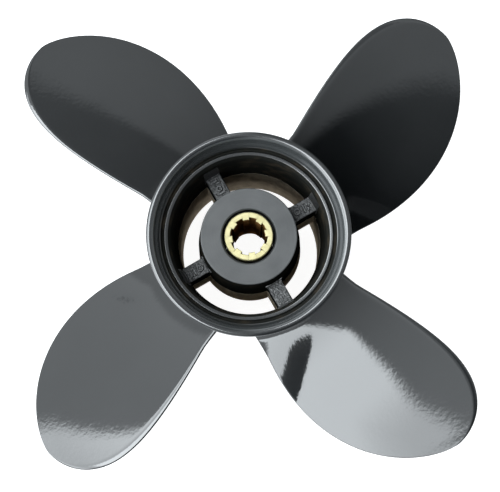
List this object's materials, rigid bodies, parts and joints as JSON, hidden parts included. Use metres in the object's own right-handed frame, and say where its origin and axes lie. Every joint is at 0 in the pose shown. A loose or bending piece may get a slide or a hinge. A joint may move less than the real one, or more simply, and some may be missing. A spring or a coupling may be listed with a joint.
{
  "type": "outboard motor propeller",
  "caption": "Right-hand boat propeller with skewed blades on a ribbed through-exhaust hub, a flared aft ring and a splined brass sleeve in a rubber bush.",
  "frame": {"origin": "centre of the flat front rim of the barrel, on the shaft axis", "axes": "+Z along the shaft axis towards the aft end with the flared ring, +X along the reference line of blade_1"},
  "size_m": [0.2344, 0.2344, 0.095],
  "materials": {
    "casting": "dark grey gloss enamel over cast aluminium",
    "bush": "moulded black rubber",
    "sleeve": "machined"
  },
  "bodies": {
    "root": {"barrel": "casting", "exhaust_ring": "casting", "inner_hub": "casting", "rib_1": "casting", "rib_2": "casting", "rib_3": "casting", "rib_4": "casting", "blade_1": "casting", "blade_2": "casting", "blade_3": "casting", "blade_4": "casting", "rubber_bush": "bush", "spline_sleeve": "sleeve"}
  },
  "joints": []
}
